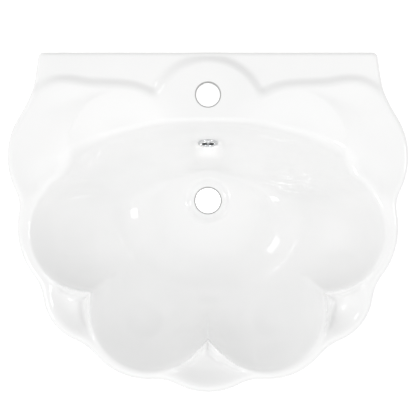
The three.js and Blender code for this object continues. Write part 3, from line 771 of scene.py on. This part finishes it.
# The thread's groove in shares of its depth: its height at the middle, and its fall over one whole pitch
GROOVE_HEIGHT = 1.15
GROOVE_FALL = 2.6
BUSH_FLANGE = 0.003
BUSH_SHORT = 0.001
BUSH_EDGE = 0.0008
WASHER_EDGE = 0.0004
WASHER_RADIUS = 0.011
WASHER_THICKNESS = 0.0016
NUT_FLATS = 0.013
NUT_HEIGHT = 0.0065
NUT_SPARE = 0.0002
NUT_LEAD_IN = 0.0012
NUT_LEAD_DEPTH = 0.0006
BORE = STUD_RADIUS + GAP
APRON_FACE = BACK_REACH - LIP_WALL
FLANGE_FRONT = APRON_FACE - GAP - BUSH_FLANGE
WASHER_FRONT = FLANGE_FRONT - GAP - WASHER_THICKNESS
NUT_FRONT = WASHER_FRONT - GAP - NUT_HEIGHT
STUD_FRONT = NUT_FRONT - STUD_TIP
STUD_END = BACK_REACH + STUD_IN_WALL


def make_stud(name):
    """A stud with a machine thread all along, and a chamfer at each end."""
    angle = even_angles(32)[:, None]
    place = np.arange(STUD_FRONT, STUD_END + THREAD_STEP / 2, THREAD_STEP)[None]
    phase = (place / THREAD_PITCH + angle / (2 * math.pi)) % 1
    groove = THREAD_DEPTH * np.clip(GROOVE_HEIGHT - GROOVE_FALL * np.abs(phase - 0.5), 0, 1)
    end = np.minimum(place - STUD_FRONT, STUD_END - place)
    chamfered = STUD_RADIUS - STUD_CHAMFER * np.clip(1 - end / STUD_CHAMFER, 0, 1)
    radius = np.minimum(chamfered + 0 * angle, STUD_RADIUS - groove)
    rings = np.stack([radius * np.sin(angle), place + 0 * angle, radius * np.cos(angle)], -1)
    front = np.zeros((len(angle), 1, 3))
    back = front.copy()
    front[..., 1] = STUD_FRONT
    back[..., 1] = STUD_END
    return ring_skin(name, np.concatenate([front, rings, back], 1), 40)


def make_bush(name):
    seat, end = APRON_FACE - GAP, BACK_REACH - BUSH_SHORT
    outline = rounded([
        (BORE, FLANGE_FRONT), (BUSH_FLANGE_RADIUS, FLANGE_FRONT), (BUSH_FLANGE_RADIUS, seat),
        (BUSH_RADIUS, seat), (BUSH_RADIUS, end), (BORE, end),
    ], BUSH_EDGE)
    return turned(name, outline, 72)


def make_washer(name):
    return tube(name, BORE, WASHER_RADIUS, WASHER_FRONT, FLANGE_FRONT - GAP, WASHER_EDGE)


def make_nut(name):
    """A hexagon whose corners are turned off at both ends, and whose hole opens out at both ends."""
    front, back = NUT_FRONT, NUT_FRONT + NUT_HEIGHT
    corner = NUT_FLATS / 2 / math.cos(math.pi / 6)
    bite = corner - NUT_FLATS / 2
    hexagon = turned(name, [(0, front), (corner, front), (corner, back), (0, back)], 6)
    hexagon.data.transform(Matrix.Rotation(math.radians(30), 4, "Y"))
    flat, round_over, widest = corner - 1.2 * bite, 0.7 * bite, corner + NUT_SPARE
    dome = turned("dome", [
        (0, front), (flat, front), (widest, front + round_over),
        (widest, back - round_over), (flat, back), (0, back),
    ], 72)
    combine(hexagon, [dome], "INTERSECT", 20)
    past, wide = 0.001, BORE + NUT_LEAD_IN
    hole = turned("hole", [
        (0, front - past), (wide, front - past), (BORE, front + NUT_LEAD_DEPTH),
        (BORE, back - NUT_LEAD_DEPTH), (wide, back + past), (0, back + past),
    ], 48)
    return combine(hexagon, [hole], smooth_angle=20)


# ------------------------------------------------------------------ materials
class Look:
    """A material under construction: its Principled shader and small helpers that add nodes to it."""

    def __init__(self, name, **uniform):
        self.material = bpy.data.materials.new(name)
        self.material.use_nodes = True
        self.nodes = self.material.node_tree.nodes
        self.links = self.material.node_tree.links
        self.shader = self.nodes["Principled BSDF"]
        self.where = self.nodes.new("ShaderNodeTexCoord").outputs["Object"]
        for socket, value in uniform.items():
            self.shader.inputs[socket.replace("_", " ")].default_value = value

    def link(self, source, target):
        if hasattr(source, "bl_idname") or hasattr(source, "is_output"):
            self.links.new(source, target)
        else:
            target.default_value = source

    def noise(self, scale, detail=2.0, roughness=0.5, stretch=(1, 1, 1)):
        mapping = self.nodes.new("ShaderNodeMapping")
        mapping.inputs["Scale"].default_value = stretch
        self.links.new(self.where, mapping.inputs["Vector"])
        made = self.nodes.new("ShaderNodeTexNoise")
        made.inputs["Scale"].default_value = scale
        made.inputs["Detail"].default_value = detail
        made.inputs["Roughness"].default_value = roughness
        self.links.new(mapping.outputs["Vector"], made.inputs["Vector"])
        return made.outputs[0]

    def spread(self, value, low, high, to_low, to_high):
        made = self.nodes.new("ShaderNodeMapRange")
        self.link(value, made.inputs["Value"])
        limits = {"From Min": low, "From Max": high, "To Min": to_low, "To Max": to_high}
        for socket, number in limits.items():
            made.inputs[socket].default_value = number
        return made.outputs["Result"]

    def calculate(self, operation, a, b=0.0):
        made = self.nodes.new("ShaderNodeMath")
        made.operation = operation
        self.link(a, made.inputs[0])
        self.link(b, made.inputs[1])
        return made.outputs[0]

    def part(self, vector, axis):
        made = self.nodes.new("ShaderNodeSeparateXYZ")
        self.links.new(vector, made.inputs[0])
        return made.outputs[axis]

    def normal(self):
        return self.nodes.new("ShaderNodeNewGeometry").outputs["Normal"]

    def blend(self, share, a, b):
        made = self.nodes.new("ShaderNodeMix")
        made.data_type = "RGBA"
        self.link(share, made.inputs["Factor"])
        colours = [socket for socket in made.inputs if socket.type == "RGBA"]
        for socket, colour in zip(colours, (a, b)):
            self.link(colour, socket)
        return next(socket for socket in made.outputs if socket.type == "RGBA")

    def mottle(self, colour, dim, scale):
        """A colour with faint darker clouds."""
        darker = (*(dim * channel for channel in colour[:3]), 1)
        return self.blend(self.spread(self.noise(scale, 2), 0.3, 0.7, 0, 1), colour, darker)

    def set(self, socket, value):
        self.links.new(value, self.shader.inputs[socket])

    def bump(self, height, distance, strength=1.0):
        made = self.nodes.new("ShaderNodeBump")
        made.inputs["Distance"].default_value = distance
        made.inputs["Strength"].default_value = strength
        self.links.new(height, made.inputs["Height"])
        for socket in ("Normal", "Coat Normal"):
            self.links.new(made.outputs["Normal"], self.shader.inputs[socket])


GLAZE_TINT = (0.925, 0.925, 0.922, 1)
GLAZE_SHADE = (0.905, 0.907, 0.905, 1)
BISCUIT = (0.80, 0.775, 0.735, 1)
BISCUIT_GRAIN = (0.72, 0.69, 0.65, 1)
# Painted shade: the dark grey painted on rings inside the tap and drain holes, standing in for the shade on
# their walls
PAINTED_HOLE_SHADE = (0.42, 0.42, 0.415, 1)
# Where the painted hole shade lies: distances beyond a hole's bore and depths below its mouth. Where the
# glaze stops: depths into the basin's back, heights on the column's foot and depths below its head. The last
# is a normal's upward share.
SHADE_RING_BAND = (0.0012, 0.0022)
SHADE_RING_DEPTH = (0.008, 0.005)
WALL_SKIN = (0.0008, 0.0003)
FOOT_SKIN = (0.0035, 0.0015)
HEAD_SKIN = (0.0012, 0.0004)
FACING_DOWN = (-0.75, -0.9)
FLOOR_PALE = (0.92, 0.92, 0.92, 1)
FLOOR_SHADE = (0.90, 0.90, 0.90, 1)


def china_look(name, bare_where, painted_shade_where=None):
    """Glazed china, bare where bare_where(look) is 1; where the last argument's mask is 1 it is painted dark
    grey as shade and left matte.
    """
    look = Look(name, IOR=1.5)
    cloud = look.noise(9, 3)
    glaze = look.blend(look.spread(cloud, 0.35, 0.65, 0, 1), GLAZE_TINT, GLAZE_SHADE)
    grain = look.noise(900, 2)
    biscuit = look.blend(grain, BISCUIT, BISCUIT_GRAIN)
    bare = bare_where(look)
    colour = look.blend(bare, glaze, biscuit)
    # Painted shade: the rings inside the holes are painted dark grey and left matte
    if painted_shade_where:
        edges = painted_shade_where(look)
        colour = look.blend(edges, colour, PAINTED_HOLE_SHADE)
        bare = look.calculate("MAXIMUM", bare, edges)
    look.set("Base Color", colour)
    gloss = look.spread(look.noise(60, 2), 0.3, 0.7, 0.05, 0.09)
    look.set("Roughness", look.spread(bare, 0, 1, 0.07, 0.75))
    look.set("Coat Weight", look.spread(bare, 0, 1, 0.6, 0))
    look.set("Coat Roughness", gloss)
    waves = look.noise(28, 1)
    peel = look.calculate("MULTIPLY", look.noise(260, 1), 0.06)
    rough = look.calculate("MULTIPLY", look.calculate("MULTIPLY", grain, bare), 0.3)
    look.bump(look.calculate("ADD", look.calculate("ADD", waves, peel), rough), 0.0006, 0.35)
    return look.material


def bare_basin(look):
    """The china's flat back against the wall and its underside are left bare."""
    back = look.spread(look.part(look.where, "Y"), WALL_Y - WALL_SKIN[0], WALL_Y - WALL_SKIN[1], 0, 1)
    under = look.spread(look.part(look.normal(), "Z"), *FACING_DOWN, 0, 1)
    return look.calculate("MAXIMUM", back, under)


def round_distance(look, centre_y):
    """How far a point stands from an upright axis at x = 0."""
    away = look.calculate("SUBTRACT", look.part(look.where, "Y"), centre_y)
    across = look.part(look.where, "X")
    squares = [look.calculate("MULTIPLY", side, side) for side in (away, across)]
    return look.calculate("SQRT", look.calculate("ADD", *squares))


def painted_hole_shade_mask(look):
    """Painted shade: dark grey rings inside the tap hole and the drain hole, standing in for the shade on the
    hole walls.
    """
    edges = []
    drain_top = RIM_Z - BOWL_DEPTH - FLOOR_FALL - DRAIN_RECESS_DEPTH
    holes = ((WALL_Y - TAP_FROM_WALL, TAP_HOLE_RADIUS, RIM_Z), (DRAIN_Y, DRAIN_RADIUS, drain_top))
    for centre_y, radius, top in holes:
        away = round_distance(look, centre_y)
        mouth = look.spread(away, radius + SHADE_RING_BAND[0], radius + SHADE_RING_BAND[1], 1, 0)
        high = look.spread(look.part(look.where, "Z"), top - SHADE_RING_DEPTH[0], top - SHADE_RING_DEPTH[1], 0, 1)
        edges.append(look.calculate("MULTIPLY", mouth, high))
    return look.calculate("MAXIMUM", *edges)


def bare_pedestal(look):
    """The column's foot and the top of its head are left bare."""
    height = look.part(look.where, "Z")
    foot = look.spread(height, *FOOT_SKIN, 0, 1)
    head = look.spread(height, PEDESTAL_HEIGHT - HEAD_SKIN[0], PEDESTAL_HEIGHT - HEAD_SKIN[1], 0, 1)
    return look.calculate("MAXIMUM", foot, head)


def metal_look(name, colour, roughness, uneven, scale, stretch=(1, 1, 1), depth=0.00002):
    look = Look(name, Metallic=1.0)
    grain = look.noise(scale, 3, 0.6, stretch)
    look.set("Base Color", look.mottle(colour, 0.88, 400))
    look.set("Roughness", look.spread(grain, 0.3, 0.7, roughness - uneven, roughness + uneven))
    look.bump(grain, depth, 0.4)
    return look.material


def plastic_look(name, colour, roughness, scale=700, depth=0.00004):
    look = Look(name, IOR=1.5)
    grain = look.noise(scale, 3, 0.6)
    look.set("Base Color", look.mottle(colour, 0.9, 120))
    look.set("Roughness", look.spread(grain, 0.3, 0.7, roughness - 0.08, roughness + 0.08))
    look.bump(grain, depth, 0.5)
    return look.material


basin_china = china_look("BasinChina", bare_basin, painted_hole_shade_mask)
pedestal_china = china_look("PedestalChina", bare_pedestal)
chrome = metal_look("Chrome", (0.80, 0.81, 0.82, 1), 0.07, 0.03, 300)
zinc = metal_look("ZincSteel", (0.62, 0.63, 0.64, 1), 0.32, 0.10, 500, (1, 0.15, 1))
nylon = plastic_look("Nylon", (0.80, 0.79, 0.75, 1), 0.45)
rubber = plastic_look("Rubber", (0.022, 0.022, 0.023, 1), 0.8)

# Each CAD node gets its finish too, under the fine piece that stands for it.
SLOT_LOOKS = {
    "vitreous_china": basin_china,
    "chrome": chrome,
    "zinc_steel": zinc,
    "nylon": nylon,
    "rubber": rubber,
}


def node_slot(node):
    if node in ("basin", "pedestal"):
        return "vitreous_china"
    if node == "overflow_ring":
        return "chrome"
    if node.startswith(("overflow_sleeve", "bush")):
        return "nylon"
    if node.startswith("pad"):
        return "rubber"
    return "zinc_steel"


for node, cad_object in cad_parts.items():
    cad_object.data.materials.clear()
    cad_object.data.materials.append(SLOT_LOOKS[node_slot(node)])

finish_piece(make_basin(), "basin", basin_china)
finish_piece(make_pedestal(), "pedestal", pedestal_china)
finish_piece(make_trim(), "overflow_ring", chrome)
finish_piece(make_sleeve(), "overflow_sleeve", nylon)
for word, turn in PAD_TURNS.items():
    finish_piece(make_pad(f"Pad_{word}", turn), f"pad_{word}", rubber)
for word, side in (("left", -1), ("right", 1)):
    stack = (
        (make_stud, "wall_stud", "zinc_steel", zinc),
        (make_bush, "bush", "nylon", nylon),
        (make_washer, "washer", "zinc_steel", zinc),
        (make_nut, "nut", "zinc_steel", zinc),
    )
    for make, kind, slot, material in stack:
        piece = make(f"{kind}_{word}_fine")
        piece.data.transform(Matrix.Translation((side * STUD_SPACING / 2, DRAIN_Y, RIM_Z - STUD_BELOW_RIM)))
        finish_piece(piece, f"{kind}_{word}", material)


# ------------------------------------------------------------------ floor, light and camera
# The sky's glow is a sum of soft lobes: azimuth and elevation in degrees, and strength
GLOW_ALL_ROUND = 0.02
GLOW_FOCUS = 4
GLOWS = (
    (0, 42, 0.72),
    (60, 42, 0.86),
    (120, 42, 0.61),
    (180, 42, 0.24),
    (240, 42, 0.09),
    (300, 42, 0.89),
    (120, 12, 0.17),
    (240, 12, 0.99),
)
# Softboxes give the glaze its highlights: name, azimuth, elevation and watts
LIGHT_DISTANCE = 2.4
SOFTBOX_SIZE = 0.42
SOFTBOXES = (
    ("FrontLeft", 294, 52, 5),
    ("Right", 97, 45, 4),
    ("BackLeft", 235, 37, 1.5),
)
# The floor glows a little more inside the column, where no light reaches it
FLOOR_GLOW_SPAN = (0.08, 0.11)
FLOOR_GLOW = (0.7, 0.2)
COLUMN_LAMP_DROP = 0.16
CAMERA_ABOVE_RIM = 1.5
CAMERA_BEFORE_DRAIN = 0.0117
CAMERA_LENS = 91.4


def make_floor():
    floor = block("Floor", (12, 12, 0.02), (0, 0, -0.0105))
    look = Look("PaleFloor", Roughness=0.9)
    look.set("Base Color", look.blend(look.noise(3, 2), FLOOR_PALE, FLOOR_SHADE))
    look.shader.inputs["Emission Color"].default_value = (1, 1, 1, 1)
    away = round_distance(look, DRAIN_Y)
    look.set("Emission Strength", look.spread(away, *FLOOR_GLOW_SPAN, *FLOOR_GLOW))
    floor.data.materials.append(look.material)


def towards(azimuth, elevation):
    """A direction from the sink. Azimuth 0 is on the user's side and 90 is to the right."""
    turn, tilt = math.radians(azimuth), math.radians(elevation)
    return Vector((math.cos(tilt) * math.sin(turn), -math.cos(tilt) * math.cos(turn), math.sin(tilt)))


def softbox(name, azimuth, elevation, energy):
    away = towards(azimuth, elevation)
    light = bpy.data.lights.new(name, "AREA")
    light.size = SOFTBOX_SIZE
    light.energy = energy
    lamp = bpy.data.objects.new(name, light)
    lamp.location = Vector((0, 0, RIM_Z)) + away * LIGHT_DISTANCE
    lamp.rotation_euler = (-away).to_track_quat("-Z", "Y").to_euler()
    bpy.context.scene.collection.objects.link(lamp)


def make_studio():
    world = bpy.data.worlds.new("Studio")
    world.use_nodes = True
    nodes, links = world.node_tree.nodes, world.node_tree.links
    direction = nodes.new("ShaderNodeTexCoord").outputs["Generated"]
    total = None
    for azimuth, elevation, strength in GLOWS:
        share = nodes.new("ShaderNodeVectorMath")
        share.operation = "DOT_PRODUCT"
        share.inputs[1].default_value = towards(azimuth, elevation)
        links.new(direction, share.inputs[0])
        positive = nodes.new("ShaderNodeMath")
        positive.operation = "MAXIMUM"
        positive.inputs[1].default_value = 0.0
        links.new(share.outputs["Value"], positive.inputs[0])
        lobe = nodes.new("ShaderNodeMath")
        lobe.operation = "POWER"
        lobe.inputs[1].default_value = GLOW_FOCUS
        links.new(positive.outputs[0], lobe.inputs[0])
        amount = nodes.new("ShaderNodeMath")
        amount.operation = "MULTIPLY_ADD"
        amount.inputs[1].default_value = strength
        links.new(lobe.outputs[0], amount.inputs[0])
        if total is None:
            amount.inputs[2].default_value = GLOW_ALL_ROUND
        else:
            links.new(total, amount.inputs[2])
        total = amount.outputs[0]
    background = nodes["Background"]
    background.inputs["Color"].default_value = (1, 1, 1, 1)
    links.new(total, background.inputs["Strength"])
    bpy.context.scene.world = world
    for softbox_values in SOFTBOXES:
        softbox(*softbox_values)
    bpy.context.scene.view_settings.view_transform = "Standard"
    bpy.context.scene.view_settings.look = "None"


def light_column():
    """A small lamp in the hollow column, so that the open drain hole isn't dark."""
    light = bpy.data.lights.new("ColumnLamp", "POINT")
    light.energy = 0.5
    light.shadow_soft_size = 0.03
    lamp = bpy.data.objects.new("ColumnLamp", light)
    lamp.location = (0, DRAIN_Y, PEDESTAL_HEIGHT - COLUMN_LAMP_DROP)
    lamp.visible_glossy = False
    bpy.context.scene.collection.objects.link(lamp)


def make_camera():
    data = bpy.data.cameras.new("Camera")
    data.sensor_width = 36
    data.lens = CAMERA_LENS
    camera = bpy.data.objects.new("Camera", data)
    camera.location = (0, DRAIN_Y - CAMERA_BEFORE_DRAIN, RIM_Z + CAMERA_ABOVE_RIM)
    bpy.context.scene.collection.objects.link(camera)
    bpy.context.scene.camera = camera


make_floor()
make_studio()
light_column()
make_camera()
